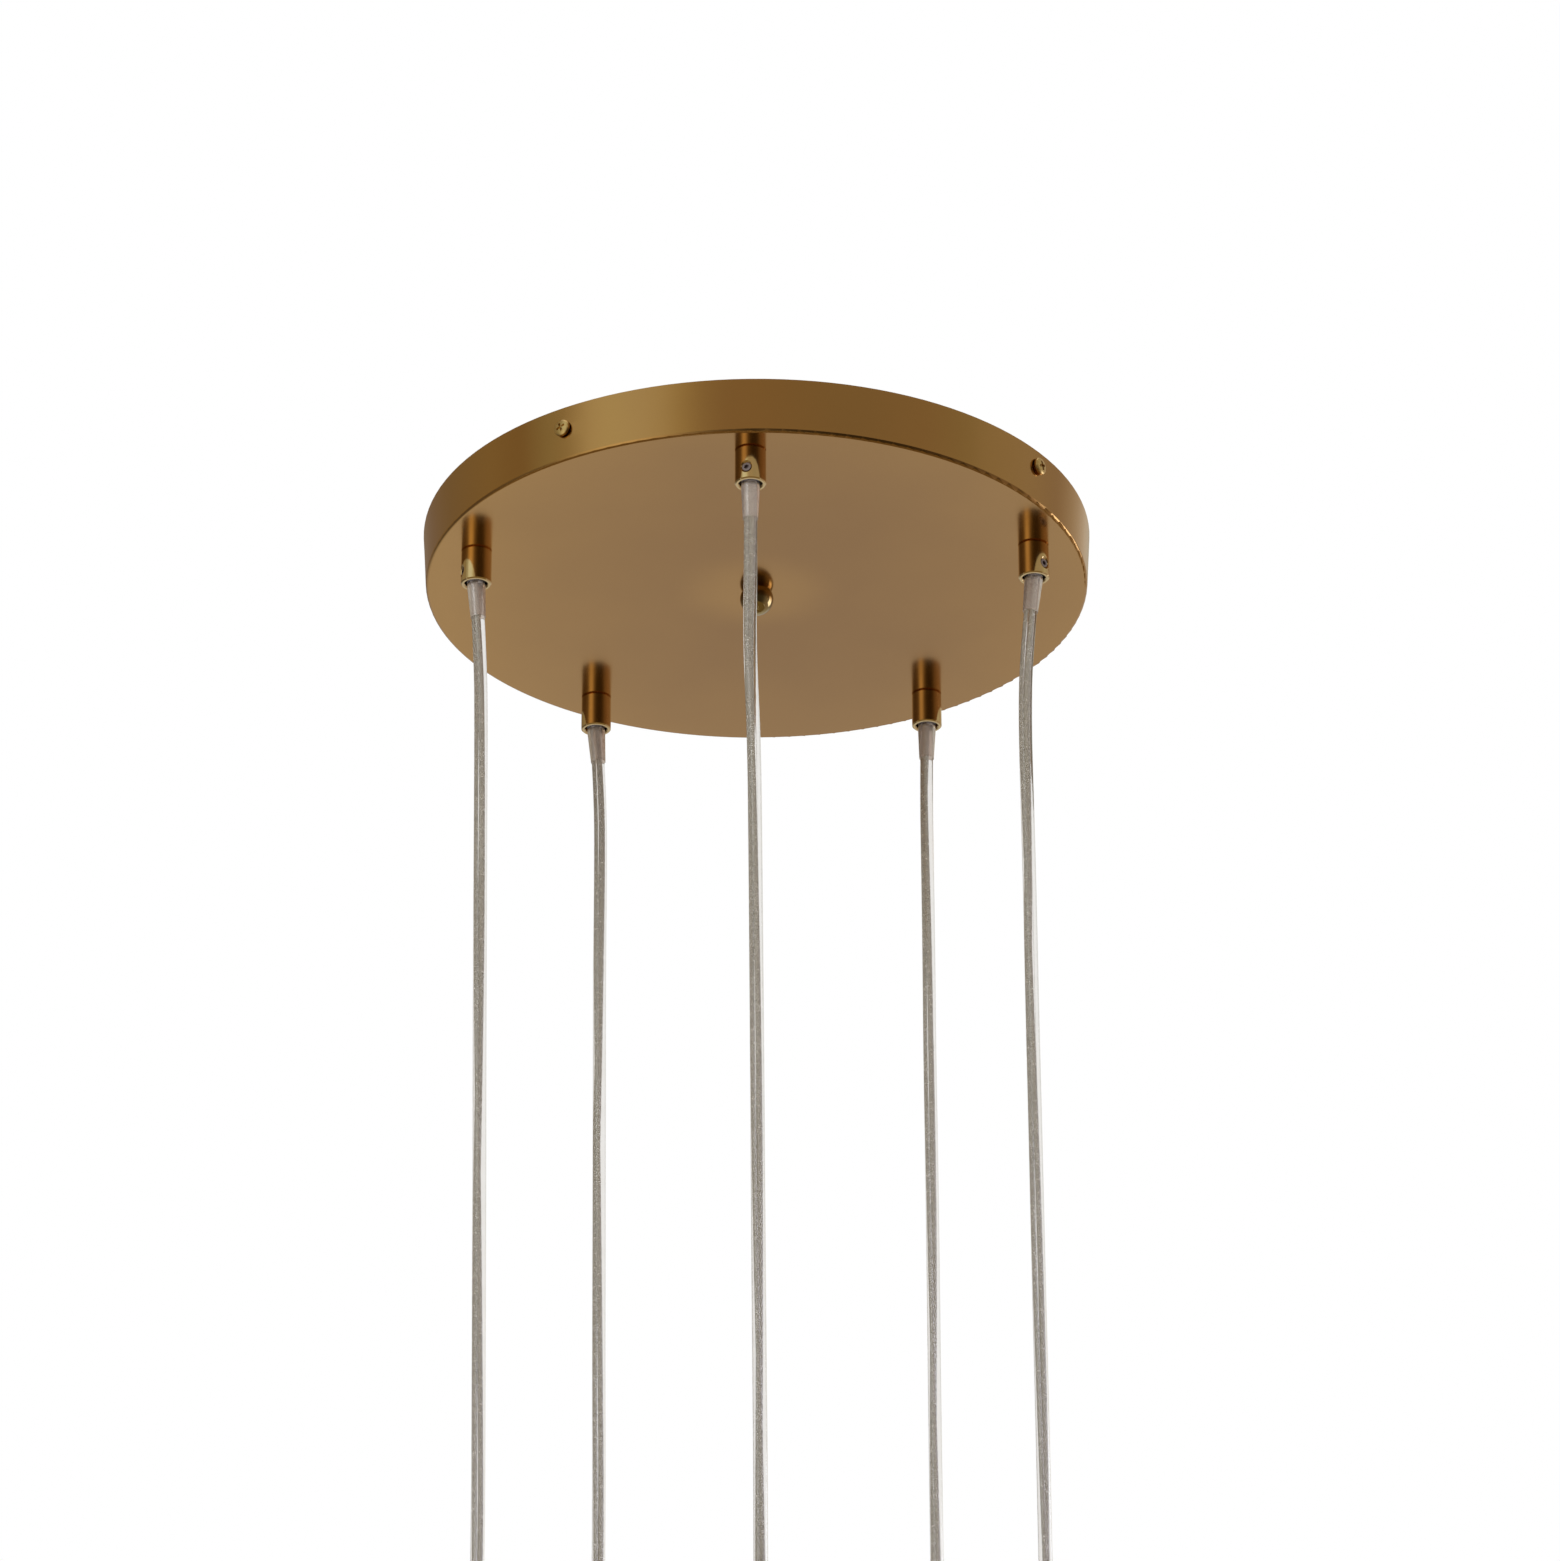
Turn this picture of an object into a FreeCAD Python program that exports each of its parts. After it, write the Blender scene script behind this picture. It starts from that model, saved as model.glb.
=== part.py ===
"""Round ceiling canopy with five hanging lamps.

Millimetres, +Z up.  The origin is the centre of the crossbar's top face, which
lies on the ceiling, so everything hangs towards -Z.  Pendant 1 hangs on the -Y
side and the others follow every 72 degrees, clockwise seen from below.
"""
import FreeCAD, Part
import math
import os

V = FreeCAD.Vector
UP = V(0, 0, 1)
ORIGIN = V(0, 0, 0)

# Canopy: a shallow drawn brass pan, open towards the ceiling and a little wider
# there than across its face, with a ring of grips whose axes stand in from the rim
canopy_d = 305.0
canopy_flare = 1.5
canopy_h = 25.7
sheet_t = 1.2
rim_edge_r = 1.5
inner_edge_min_r = 0.2
pendant_count = 5
grip_inset = 19.0

# Steel work that carries the canopy
crossbar_w = 24.0
crossbar_t = 2.0
box_screw_spacing = 88.9
box_slot_w = 5.0
box_slot_len = 14.0
slot_end_margin = 4.55
arm_w = 22.0
arm_t = 2.0
ear_h = 16.0
ear_gap = 0.3

# Rim screws, one in each ear: degrees round from -Y towards +X, and the depth
# of each screw's centre below the ceiling
rim_screw_azimuths = (-33.0, 57.0, 147.0, 237.0)
rim_screw_drops = (10.4, 7.6, 9.0, 9.0)
rim_screw_d = 4.0
rim_screw_head_d = 7.8
rim_screw_head_h = 1.9
rim_screw_edge_h = 0.85
rim_screw_crown_h = 1.63
rim_screw_stand_off = 0.7
rim_screw_len = 10.0
recess_w = 1.1
recess_len = 4.4
recess_depth = 1.1
recess_turn = 20.0

# Centre stud, its nuts and the ball finial
stud_d = 6.0
stud_nut_flats = 10.0
stud_nut_h = 5.0
stud_in_finial = 6.0
finial_ball_d = 15.5
finial_ball_drop = 4.0

# Cord grips: turned barrels on hollow threaded nipples
grip_d = 14.0
grip_len = 16.6
grip_sleeve_gap = 0.9
grip_mouth_edge = 0.5
grip_edge = 0.5
grip_top_edge = 0.6
nipple_d = 9.9
nipple_cord_gap = 0.4
nipple_in_grip = 6.5
nipple_shoulder_gap = 0.5
nut_flange_d = 17.0
nut_flange_t = 1.2
nut_flats = 14.0
nut_h = 3.2
nipple_above_nut = 0.8
set_screw_d = 4.0
set_screw_sink = 0.6
set_screw_drop = 10.8
set_screw_mouth_d = 5.4
set_screw_azimuths = (-15.0, -70.0, 150.0, -150.0, 47.0)
hex_key = 2.0
hex_key_depth = 1.4

# Cords: round clear flex, and the tapered sleeve that eases it out of the grip
cord_d = 6.0
cord_in_mouth = 1.0
tail_end_above_mouth = 3.0
tail_top_above_nut = 3.0
sleeve_wall = 1.1
sleeve_tip_wall = 0.35
sleeve_len = 18.0
sleeve_straight = 3.0

# Lampholders: each a grip, a spun cup, a moulded insert and its contacts
cord_in_holder = 8.0
holder_grip_len = 15.0
holder_spigot_len = 5.0
cup_t = 1.0
cup_shoulder_r = 7.0
insert_wall = 2.73
insert_side_gap = 1.5
insert_mouth_gap = 7.8
insert_roof_gap = 0.2
insert_roof_t = 7.0
wire_chamber_wall = 5.5
wire_chamber_h = 8.0
insert_floor_t = 3.0
shell_t = 0.5
shell_len = 22.0
shell_mouth_gap = 3.0
shell_roof_gap = 4.0
contact_d = 8.0
contact_t = 1.5

# Bulbs: screw base and opal globe
base_d = 26.3
base_len = 25.0
base_wall = 1.0
base_tip_d = 9.0
base_cone_h = 5.0
thread_pitch = 3.6
thread_depth = 0.8
thread_turns = 4
globe_d = 80.0
globe_t = 1.0
neck_d = 25.0
neck_len = 9.0
globe_below_neck = 1.0
bulb_tip_gap = 0.3

# Terminal block under one arm, and the conductors that reach it
block_start = 24.0
block_len = 60.0
block_w = 20.0
block_h = 12.0
terminal_screw_d = 3.2
terminal_screw_sink = 0.8
terminal_slot_w = 0.64
terminal_slot_depth = 0.8
terminal_pitch = 6.0
lead_d = 2.0
lead_in_block = 4.0
entry_drop = 6.0
# Where each cord's two leads go in: distance along the arm, and side of the block
lead_entry_places = (34.0, 34.0, 58.0, 74.0, 52.0)
lead_entry_sides = (-1, 1, 1, -1, -1)
lead_pitch = 3.0
lead_approach = 14.0
lead_approach_dip = 2.0
lead_slack = 5.0
# Shares of the way across the pan at which a lead's bow starts and is widest, and
# how much of its slack it has by the first
LEAD_BOW_AT = (0.3, 0.68)
LEAD_BOW_START = 0.8
# How a lead bends over from the cord's end to the pan's floor, as (distance
# towards the block, height above the cord's end)
lead_bend = ((0, 7.4), (6.5, 11.4), (16, 9.5), (25, 2.5), (34, -3.4))

# Clearances
thread_gap = 0.05
hole_gap = 0.15
cord_gap = 0.1
entry_gap = 0.6
shell_gap = 0.05
turn_gap = 0.07

# How far cuts run past a wall, and how closely edges are told apart
cut_past = 1.0
edge_tol = 0.01

# Each arc of a cord starts at this share of the shorter run beside it
ARC_SHARE = 0.45

# Routes of the five cords, from the grip's mouth down to the lampholder, as
# (offset along X, offset along Y, distance down).  Each hangs nearly straight
# under its lamp, with the slight bows that the flex keeps from its drum.
cord_routes = (
    ((0, 0, 0), (0, 0.4, 40), (-0.5, 1.1, 80), (1.4, 1, 125), (1.9, 0.2, 170),
     (2.3, -0.6, 225), (2.7, -1.2, 285), (3, -1, 345), (3.4, -0.3, 410), (3.9, 0.3, 475),
     (3.9, 0.3, 540.5)),
    ((0, 0, 0), (2.7, -0.3, 38), (3.6, -0.9, 80), (4.1, -1.1, 125), (4.7, -0.6, 175),
     (5.3, 0.2, 230), (6.2, 0.9, 288), (6.9, 1.2, 345), (7.6, 0.9, 400), (8.3, 0.4, 448),
     (8.3, 0.4, 497.5)),
    ((0, 0, 0), (2.4, 0.3, 36), (2.8, 0.8, 78), (2.7, 1.3, 125), (3.1, 1, 175),
     (3.5, 0.2, 228), (3.9, -0.5, 282), (4.3, -0.8, 336), (4.9, -0.5, 390),
     (4.9, -0.5, 445.5)),
    ((0, 0, 0), (-0.7, -0.3, 34), (-0.6, -0.9, 74), (-0.5, -1.4, 120), (-0.7, -1, 172),
     (-0.4, -0.2, 230), (-0.4, 0.6, 290), (-0.5, 0.9, 352), (-0.4, 0.5, 412),
     (-0.4, 0.5, 473.5)),
    ((0, 0, 0), (-4, 0.3, 36), (-5.4, 0.8, 72), (-5, 1.2, 116), (-4.7, 0.8, 165),
     (-4.7, 0, 220), (-4.4, -0.7, 278), (-4.3, -1.1, 336), (-4, -0.8, 396),
     (-3.8, -0.2, 458), (-3.8, -0.2, 521.5)),
)

# Lengths, heights and radii that follow from the sizes above
grip_circle_r = canopy_d / 2 - grip_inset
crossbar_len = box_screw_spacing + box_slot_len + 2 * slot_end_margin
rim_screw_places = tuple(zip(rim_screw_azimuths, rim_screw_drops))
lead_entries = tuple(zip(lead_entry_places, lead_entry_sides))
bulb_len = base_len + neck_len + globe_below_neck + globe_d
cord_bore_d = cord_d + 2 * cord_gap
sleeve_d = cord_bore_d + 2 * sleeve_wall
sleeve_tip_d = cord_bore_d + 2 * sleeve_tip_wall
grip_bore_d = sleeve_d + 2 * grip_sleeve_gap
nipple_bore_d = cord_d + 2 * nipple_cord_gap
shell_bore_r = base_d / 2 + turn_gap
socket_bore_r = shell_bore_r + shell_t + shell_gap
insert_d = 2 * (socket_bore_r + insert_wall)
wire_chamber_d = insert_d - 2 * wire_chamber_wall
cup_d = insert_d + 2 * insert_side_gap + 2 * cup_t
bore_len = shell_mouth_gap + shell_len + shell_roof_gap
insert_len = insert_roof_t + wire_chamber_h + insert_floor_t + bore_len
cup_h = cup_t + insert_roof_gap + insert_len + insert_mouth_gap
face_z = -canopy_h
pan_floor_z = face_z + sheet_t
pan_inner_r = canopy_d / 2 - sheet_t
mouth_z = face_z - grip_len
exit_z = mouth_z + cord_in_mouth
star_z = -crossbar_t - arm_t
nut_top_z = pan_floor_z + nut_flange_t + nut_h
tail_top_z = nut_top_z + tail_top_above_nut


def cylinder(radius, low, high, x=0.0, y=0.0):
    """Upright cylinder between two heights."""
    return Part.makeCylinder(radius, high - low, V(x, y, low))


def tube(outer_r, inner_r, low, high, x=0.0, y=0.0):
    """Upright round tube between two heights."""
    return cylinder(outer_r, low, high, x, y).cut(cylinder(inner_r, low, high, x, y))


def turned(edges):
    """Solid of revolution about Z from the closed outline that the edges form."""
    face = Part.Face(Part.Wire(edges))
    return face.revolve(ORIGIN, UP, 360)


def outline(points):
    """Straight edges through (radius, height) points, closed."""
    corners = [V(r, 0, z) for r, z in points]
    return [Part.makeLine(a, b) for a, b in zip(corners, corners[1:] + corners[:1])]


def arc(start, middle, end):
    """Arc edge through three (radius, height) points."""
    points = [V(r, 0, z) for r, z in (start, middle, end)]
    return Part.Arc(*points).toShape()


def line(start, end):
    """Straight edge between two (radius, height) points."""
    return Part.makeLine(V(start[0], 0, start[1]), V(end[0], 0, end[1]))


def turn(shape, degrees):
    """Copy of a shape turned about the Z axis."""
    copy = shape.copy()
    copy.rotate(ORIGIN, UP, degrees)
    return copy


def moved(shape, x, y, z=0.0):
    """Copy of a shape shifted by a distance along each axis."""
    copy = shape.copy()
    copy.translate(V(x, y, z))
    return copy


def hexagon(flats, low, high):
    """Upright hexagonal prism, given its width across flats."""
    corner_r = flats / 2 / math.cos(math.pi / 6)
    corners = [V(corner_r * math.cos(k * math.pi / 3), corner_r * math.sin(k * math.pi / 3), low)
               for k in range(7)]
    return Part.Face(Part.makePolygon(corners)).extrude(V(0, 0, high - low))


def hex_nut(flats, bore_r, low, high):
    """Hexagonal nut with its hole."""
    return hexagon(flats, low, high).cut(cylinder(bore_r, low, high))


def from_front(azimuth):
    """Turn that brings something built on the +X side to an azimuth from -Y towards +X."""
    return azimuth - 90.0


def grip_angle(n):
    """Direction of pendant n from the centre, in degrees from +X."""
    return -90.0 - n * 360.0 / pendant_count


def grip_axis(n):
    """Where the axis of pendant n's grip crosses the XY plane."""
    angle = math.radians(grip_angle(n))
    return grip_circle_r * math.cos(angle), grip_circle_r * math.sin(angle)


def save(node, shapes):
    """Write a node's solids as one STEP file."""
    shape = shapes[0] if len(shapes) == 1 else Part.makeCompound(shapes)
    shape.exportStep("parts/" + node + ".step")


def flex(node, points, diameter):
    """Tube along straight runs joined by tangent arcs, each as large as its runs allow."""
    edges = []
    radii = []
    start = points[0]
    for before, corner, after in zip(points, points[1:], points[2:]):
        back = before - corner
        ahead = after - corner
        set_back = ARC_SHARE * min(back.Length, ahead.Length)
        half_turn = (math.pi - back.getAngle(ahead)) / 2
        radius = set_back / math.tan(half_turn)
        back.normalize()
        ahead.normalize()
        inward = back + ahead
        inward.normalize()
        first = corner + back * set_back
        last = corner + ahead * set_back
        middle = corner + inward * (radius / math.cos(half_turn) - radius)
        edges.append(Part.LineSegment(start, first).toShape())
        edges.append(Part.Arc(first, middle, last).toShape())
        radii.append(radius)
        start = last
    edges.append(Part.LineSegment(start, points[-1]).toShape())
    path = Part.Wire(edges)
    end = Part.Wire(Part.makeCircle(diameter / 2, points[0], points[1] - points[0]))
    solid = path.makePipeShell([end], True, False)
    expected = math.pi * diameter ** 2 / 4 * path.Length
    print("%s length %.1f, smallest radius %.1f, volume over section x length %.4f"
          % (node, path.Length, min(radii), solid.Volume / expected))
    return solid


# ---------------------------------------------------------------- steel work

def crossbar():
    """Bar that is screwed to the ceiling box through two slots."""
    bar = Part.makeBox(crossbar_len, crossbar_w, crossbar_t,
                       V(-crossbar_len / 2, -crossbar_w / 2, -crossbar_t))
    slot_half = (box_slot_len - box_slot_w) / 2
    for side in (-1, 1):
        middle = side * box_screw_spacing / 2
        bar = bar.cut(Part.makeBox(2 * slot_half, box_slot_w, crossbar_t,
                                   V(middle - slot_half, -box_slot_w / 2, -crossbar_t)))
        for end in (-slot_half, slot_half):
            bar = bar.cut(cylinder(box_slot_w / 2, -crossbar_t, 0, middle + end))
    return bar.cut(cylinder(stud_d / 2 + thread_gap, -crossbar_t, 0))


def ear_face_r():
    """Radius of the ears' outer faces, whose corners clear the pan's wall."""
    return math.sqrt(pan_inner_r ** 2 - (arm_w / 2) ** 2) - ear_gap


def ceiling_bracket():
    """Four flat arms under the crossbar, each bent down to a tapped ear."""
    reach = ear_face_r()
    star = None
    for azimuth, drop in rim_screw_places:
        arm = Part.makeBox(reach, arm_w, arm_t, V(0, -arm_w / 2, star_z))
        ear = Part.makeBox(arm_t, arm_w, ear_h, V(reach - arm_t, -arm_w / 2, star_z + arm_t - ear_h))
        hole = Part.makeCylinder(rim_screw_d / 2 + thread_gap, arm_t + 2 * cut_past,
                                 V(reach - arm_t - cut_past, 0, -drop), V(1, 0, 0))
        piece = turn(arm.fuse(ear).cut(hole), from_front(azimuth))
        star = piece if star is None else star.fuse(piece)
    star = star.cut(cylinder(stud_d / 2 + thread_gap, star_z, star_z + arm_t))
    return star.removeSplitter()


def rim_screw(azimuth, drop):
    """Pan-head screw with a cross recess, standing a little off the rim."""
    seat = canopy_d / 2 + canopy_flare * (1 - drop / canopy_h) + rim_screw_stand_off
    head_r = rim_screw_head_d / 2
    crown = (math.sqrt(0.5) * head_r, rim_screw_crown_h)
    head = turned([line((0, 0), (head_r, 0)),
                   line((head_r, 0), (head_r, rim_screw_edge_h)),
                   arc((head_r, rim_screw_edge_h), crown, (0, rim_screw_head_h)),
                   line((0, rim_screw_head_h), (0, 0))])
    shank = cylinder(rim_screw_d / 2, -rim_screw_len, 0)
    screw = head.fuse(shank)
    for angle in (0, 90):
        slot = Part.makeBox(recess_len, recess_w, rim_screw_head_h,
                            V(-recess_len / 2, -recess_w / 2, rim_screw_head_h - recess_depth))
        screw = screw.cut(turn(slot, angle + recess_turn))
    screw.rotate(ORIGIN, V(0, 1, 0), 90)
    screw = moved(screw, seat, 0, -drop)
    return turn(screw, from_front(azimuth))


# ---------------------------------------------------------------- canopy

def canopy_pan():
    """Drawn pan: flat face below, short flared rim with a rounded edge, open above."""
    outer_r = canopy_d / 2
    inner_edge_r = max(rim_edge_r - sheet_t, inner_edge_min_r)
    outside = Part.makeCone(outer_r, outer_r + canopy_flare, canopy_h, V(0, 0, face_z))
    inside = Part.makeCone(pan_inner_r, pan_inner_r + canopy_flare, -pan_floor_z, V(0, 0, pan_floor_z))
    outer_edge = [e for e in outside.Edges if abs(e.BoundBox.ZMax - face_z) < edge_tol
                  and e.BoundBox.ZLength < edge_tol]
    inner_edge = [e for e in inside.Edges if abs(e.BoundBox.ZMax - pan_floor_z) < edge_tol
                  and e.BoundBox.ZLength < edge_tol]
    pan = outside.makeFillet(rim_edge_r, outer_edge).cut(inside.makeFillet(inner_edge_r, inner_edge))
    for n in range(pendant_count):
        x, y = grip_axis(n)
        pan = pan.cut(cylinder(nipple_d / 2 + hole_gap, face_z, pan_floor_z, x, y))
    for azimuth, drop in rim_screw_places:
        hole = Part.makeCylinder(rim_screw_d / 2 + hole_gap, sheet_t + canopy_flare + 2 * cut_past,
                                 V(pan_inner_r - cut_past, 0, -drop), V(1, 0, 0))
        pan = pan.cut(turn(hole, from_front(azimuth)))
    return pan.cut(cylinder(stud_d / 2 + hole_gap, face_z, pan_floor_z))


def centre_stud():
    """Threaded rod from the crossbar down into the finial."""
    return cylinder(stud_d / 2, face_z - stud_in_finial, 0)


def stud_nuts():
    """One nut under the bracket and one on the pan's floor."""
    bore_r = stud_d / 2 + thread_gap
    return [hex_nut(stud_nut_flats, bore_r, star_z - stud_nut_h, star_z),
            hex_nut(stud_nut_flats, bore_r, pan_floor_z, pan_floor_z + stud_nut_h)]


def finial_ball():
    """Polished ball with a flat seat on the pan, tapped for the stud."""
    ball_r = finial_ball_d / 2
    centre_z = face_z - finial_ball_drop
    seat_r = math.sqrt(ball_r ** 2 - finial_ball_drop ** 2)
    body = turned([line((0, face_z), (seat_r, face_z)),
                   arc((seat_r, face_z), (ball_r, centre_z), (0, centre_z - ball_r)),
                   line((0, centre_z - ball_r), (0, face_z))])
    return body.cut(cylinder(stud_d / 2 + thread_gap, face_z - stud_in_finial - hole_gap, face_z))


# ---------------------------------------------------------------- cord grips

def cord_grip(n):
    """Barrel with a tapped top, a wider bore below, a chamfered mouth and one set-screw hole."""
    thread_r = nipple_d / 2 + thread_gap
    shoulder_z = face_z - nipple_in_grip - nipple_shoulder_gap
    barrel = cylinder(grip_d / 2, mouth_z, face_z)
    lower_edge = [e for e in barrel.Edges if e.BoundBox.ZMax < mouth_z + edge_tol]
    upper_edge = [e for e in barrel.Edges if e.BoundBox.ZMin > face_z - edge_tol]
    barrel = barrel.makeChamfer(grip_edge, lower_edge).makeChamfer(grip_top_edge, upper_edge)
    barrel = barrel.cut(cylinder(thread_r, shoulder_z, face_z))
    barrel = barrel.cut(cylinder(grip_bore_d / 2, mouth_z, shoulder_z))
    barrel = barrel.cut(Part.makeCone(grip_bore_d / 2 + grip_mouth_edge, grip_bore_d / 2,
                                      grip_mouth_edge, V(0, 0, mouth_z)))
    screw_z = face_z - set_screw_drop
    hole = Part.makeCylinder(set_screw_d / 2 + thread_gap, grip_d / 2, V(0, 0, screw_z), V(1, 0, 0))
    mouth_depth = (set_screw_mouth_d - set_screw_d) / 2
    mouth = Part.makeCone(set_screw_d / 2, set_screw_mouth_d / 2 + mouth_depth, 2 * mouth_depth,
                          V(grip_d / 2 - 1.5 * mouth_depth, 0, screw_z), V(1, 0, 0))
    barrel = barrel.cut(turn(hole.fuse(mouth), from_front(set_screw_azimuths[n])))
    return moved(barrel, *grip_axis(n))


def grip_nipple(n):
    """Hollow threaded nipple that joins a grip to the pan."""
    top = nut_top_z + nipple_above_nut
    return tube(nipple_d / 2, nipple_bore_d / 2, face_z - nipple_in_grip, top, *grip_axis(n))


def grip_nut(n):
    """Flanged nut that clamps the nipple from inside the pan."""
    flange_top = pan_floor_z + nut_flange_t
    nut = cylinder(nut_flange_d / 2, pan_floor_z, flange_top).fuse(hexagon(nut_flats, flange_top, nut_top_z))
    nut = nut.cut(cylinder(nipple_d / 2 + thread_gap, pan_floor_z, nut_top_z))
    return moved(nut, *grip_axis(n))


def grip_set_screw(n):
    """Headless screw with a hexagon socket, its tip against the cord."""
    tip = cord_bore_d / 2
    length = grip_d / 2 - set_screw_sink - tip
    screw = cylinder(set_screw_d / 2, 0, length)
    screw = screw.cut(hexagon(hex_key, length - hex_key_depth, length))
    screw.rotate(ORIGIN, V(0, 1, 0), 90)
    screw = moved(screw, tip, 0, face_z - set_screw_drop)
    return moved(turn(screw, from_front(set_screw_azimuths[n])), *grip_axis(n))


def cord_tail(n):
    """The cord's sheathed end, from inside the grip up into the canopy."""
    return cylinder(cord_d / 2, mouth_z + tail_end_above_mouth, tail_top_z, *grip_axis(n))


# ---------------------------------------------------------------- wiring

def block_turn():
    """Direction of the third arm, which carries the terminal block, in degrees from +X."""
    return from_front(rim_screw_azimuths[2])


def terminal_block():
    """Moulded block under one arm, with a row of entries in each long side."""
    block = Part.makeBox(block_len, block_w, block_h, V(block_start, -block_w / 2, star_z - block_h))
    entry_z = star_z - entry_drop
    for along, side in lead_entries:
        for shift in (-0.5, 0.5):
            start = V(along + shift * terminal_pitch, side * (block_w / 2 - lead_in_block), entry_z)
            block = block.cut(Part.makeCylinder(lead_d / 2 + entry_gap, lead_in_block, start,
                                                V(0, side, 0)))
            block = block.cut(cylinder(terminal_screw_d / 2 + thread_gap, star_z - block_h,
                                       entry_z - lead_d, along + shift * terminal_pitch,
                                       side * block_w / 4))
    return turn(block, block_turn())


def terminal_screws():
    """Clamping screws, reached from below through the block."""
    screws = []
    low = star_z - block_h + terminal_screw_sink
    high = star_z - entry_drop - lead_d
    for along, side in lead_entries:
        for shift in (-0.5, 0.5):
            screw = cylinder(terminal_screw_d / 2, low, high)
            slot = Part.makeBox(terminal_screw_d, terminal_slot_w, terminal_slot_depth,
                                V(-terminal_screw_d / 2, -terminal_slot_w / 2, low))
            screw = moved(screw.cut(slot), along + shift * terminal_pitch, side * block_w / 4)
            screws.append(turn(screw, block_turn()))
    return screws


def conductor_lead(n, shift):
    """One insulated conductor, from the cord's end to its place in the block."""
    along, side = lead_entries[n]
    angle = math.radians(block_turn())
    arm = V(math.cos(angle), math.sin(angle), 0)
    away = V(-math.sin(angle), math.cos(angle), 0) * side
    entry_z = star_z - entry_drop
    floor_z = pan_floor_z + lead_d
    entry = arm * (along + shift * terminal_pitch) + away * (block_w / 2)
    approach = entry + away * lead_approach
    x, y = grip_axis(n)
    inward = approach - V(x, y, 0)
    span = inward.Length
    inward.normalize()
    across = arm - inward * arm.dot(inward)
    across.normalize()
    start = V(x, y, tail_top_z) + across * (shift * lead_pitch)

    def on_way(distance, sideways, z):
        point = start + inward * distance + across * sideways
        return V(point.x, point.y, z)

    bend_end = lead_bend[-1][0]
    bow_start, bow_widest = [bend_end + (span - bend_end) * share for share in LEAD_BOW_AT]
    points = [start] + [on_way(distance, 0, tail_top_z + rise) for distance, rise in lead_bend]
    points += [on_way(bow_start, lead_slack * LEAD_BOW_START, floor_z),
               on_way(bow_widest, lead_slack, floor_z + lead_d),
               V(approach.x, approach.y, entry_z - lead_approach_dip),
               V(entry.x, entry.y, entry_z) - away * (lead_in_block / 2)]
    return flex("conductor_leads %d" % (n + 1), points, lead_d)


# ---------------------------------------------------------------- pendants

def cord_points(n):
    """Route of cord n in the part's own frame."""
    x, y = grip_axis(n)
    return [V(x + dx, y + dy, exit_z - down) for dx, dy, down in cord_routes[n]]


def cord_sleeve(n):
    """Tapered clear sleeve round the cord where it leaves the grip."""
    bore_r = cord_bore_d / 2
    sleeve = turned(outline(((bore_r, 0), (sleeve_d / 2, 0), (sleeve_d / 2, -sleeve_straight),
                             (sleeve_tip_d / 2, -sleeve_len), (bore_r, -sleeve_len))))
    points = cord_points(n)
    lean = FreeCAD.Rotation(V(0, 0, -1), points[1] - points[0])
    sleeve.Placement = FreeCAD.Placement(points[0], lean)
    return sleeve


def holder_grip(top):
    """Turned barrel that holds the cord, with a spigot that carries the cup."""
    body = cylinder(grip_d / 2, top - holder_grip_len, top)
    upper_edge = [e for e in body.Edges if e.BoundBox.ZMin > top - edge_tol]
    body = body.makeChamfer(grip_edge, upper_edge)
    spigot_low = top - holder_grip_len - cup_t - insert_roof_gap - holder_spigot_len
    body = body.fuse(cylinder(nipple_d / 2, spigot_low, top - holder_grip_len))
    return body.cut(cylinder(cord_bore_d / 2, spigot_low, top))


def holder_cup(top):
    """Spun cup with a rounded shoulder, open below."""
    roof = top - holder_grip_len
    rim = roof - cup_h

    def bell(radius, shoulder, low, high):
        diagonal = shoulder * (1 - math.sqrt(0.5))
        return turned([line((0, high), (radius - shoulder, high)),
                       arc((radius - shoulder, high), (radius - diagonal, high - diagonal),
                           (radius, high - shoulder)),
                       line((radius, high - shoulder), (radius, low)),
                       line((radius, low), (0, low)),
                       line((0, low), (0, high))])

    cup = bell(cup_d / 2, cup_shoulder_r, rim, roof)
    cup = cup.cut(bell(cup_d / 2 - cup_t, cup_shoulder_r - cup_t, rim, roof - cup_t))
    return cup.cut(cylinder(nipple_d / 2 + hole_gap, roof - cup_t, roof))


def insert_top(top):
    """Height of the insert's upper face, just under the cup's roof."""
    return top - holder_grip_len - cup_t - insert_roof_gap


def contact_z(top):
    """Height of the lower face of the insert's floor, where the centre contact sits."""
    return insert_top(top) - insert_roof_t - wire_chamber_h - insert_floor_t


def socket_insert(top):
    """Moulded insert: tapped roof, wiring chamber, floor, and the bore of the screw shell."""
    high = insert_top(top)
    low = high - insert_len
    chamber_high = high - insert_roof_t
    chamber_low = chamber_high - wire_chamber_h
    body = cylinder(insert_d / 2, low, high)
    shoulder = [e for e in body.Edges if e.BoundBox.ZMin > high - edge_tol]
    body = body.makeFillet(cup_shoulder_r - cup_t, shoulder)
    body = body.cut(cylinder(nipple_d / 2 + thread_gap, chamber_high, high))
    body = body.cut(cylinder(wire_chamber_d / 2, chamber_low, chamber_high))
    return body.cut(cylinder(socket_bore_r, low, contact_z(top)))


def socket_contacts(top):
    """Plain screw shell and the centre contact."""
    low = insert_top(top) - insert_len + shell_mouth_gap
    shell = tube(shell_bore_r + shell_t, shell_bore_r, low, low + shell_len)
    disc = cylinder(contact_d / 2, contact_z(top) - contact_t, contact_z(top))
    return [shell, disc]


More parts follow.
